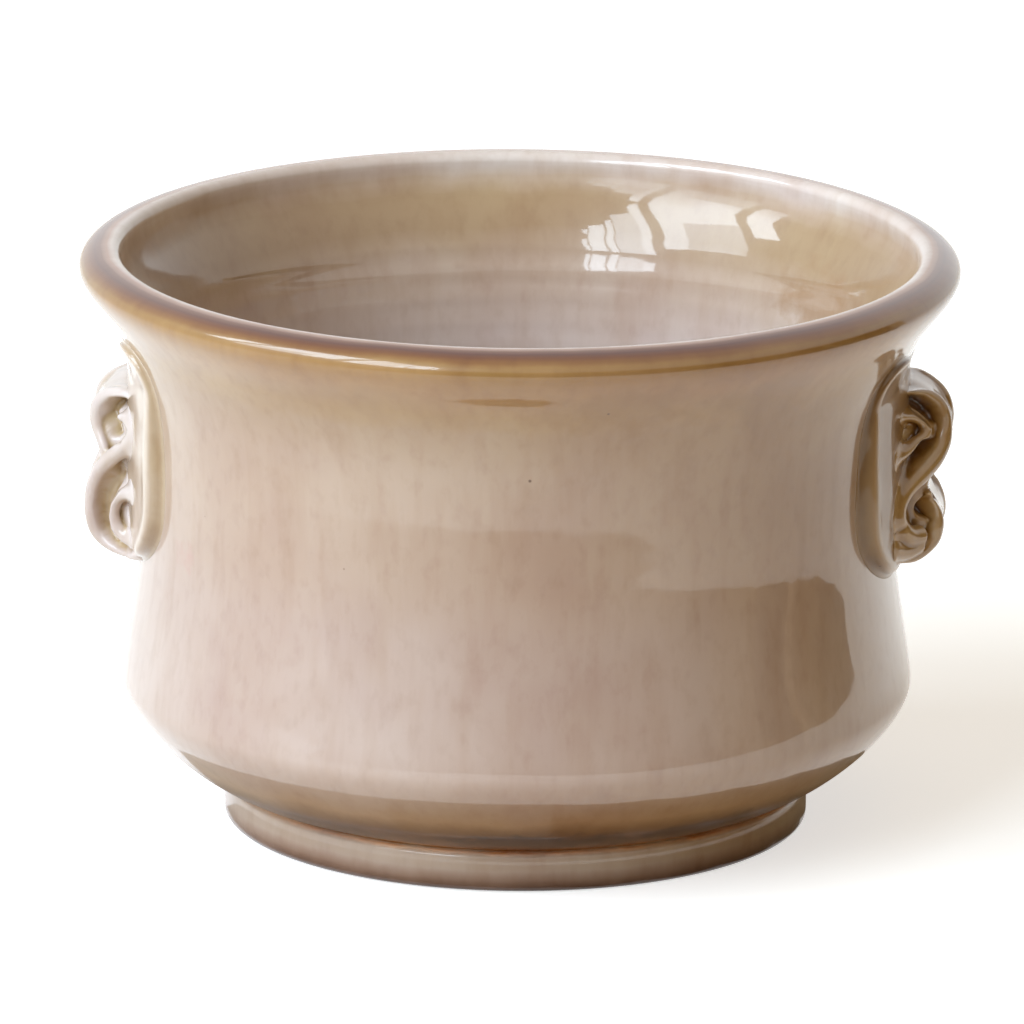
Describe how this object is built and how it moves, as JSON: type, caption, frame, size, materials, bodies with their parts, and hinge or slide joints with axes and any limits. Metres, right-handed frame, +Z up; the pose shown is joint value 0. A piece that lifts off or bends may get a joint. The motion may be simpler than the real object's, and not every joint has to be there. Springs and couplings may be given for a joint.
{
  "type": "ceramic flower pot",
  "caption": "Glazed stoneware flower pot with a bellied bowl, waisted neck, flared rim, turned foot ring, drain hole and a scroll ear on a pad at either side.",
  "frame": {"origin": "centre of the ring that the foot stands on", "axes": "+Z up along the axis on which the pot was thrown, X through the two ears, Y to the plain sides"},
  "size_m": [0.18, 0.18, 0.1195],
  "materials": {
    "pot_body": "glossy cream to mauve glaze, brown where it breaks at the lip",
    "foot_ring": "thin brown glaze over clay",
    "pads": "glossy cream glaze",
    "scrolls": "glossy glaze, brown where it pools"
  },
  "bodies": {
    "root": {"pot_body": "pot_body", "flared_rim": "pot_body", "foot_ring": "foot_ring", "left_pad": "pads", "left_scroll": "scrolls", "right_pad": "pads", "right_scroll": "scrolls"}
  },
  "joints": []
}
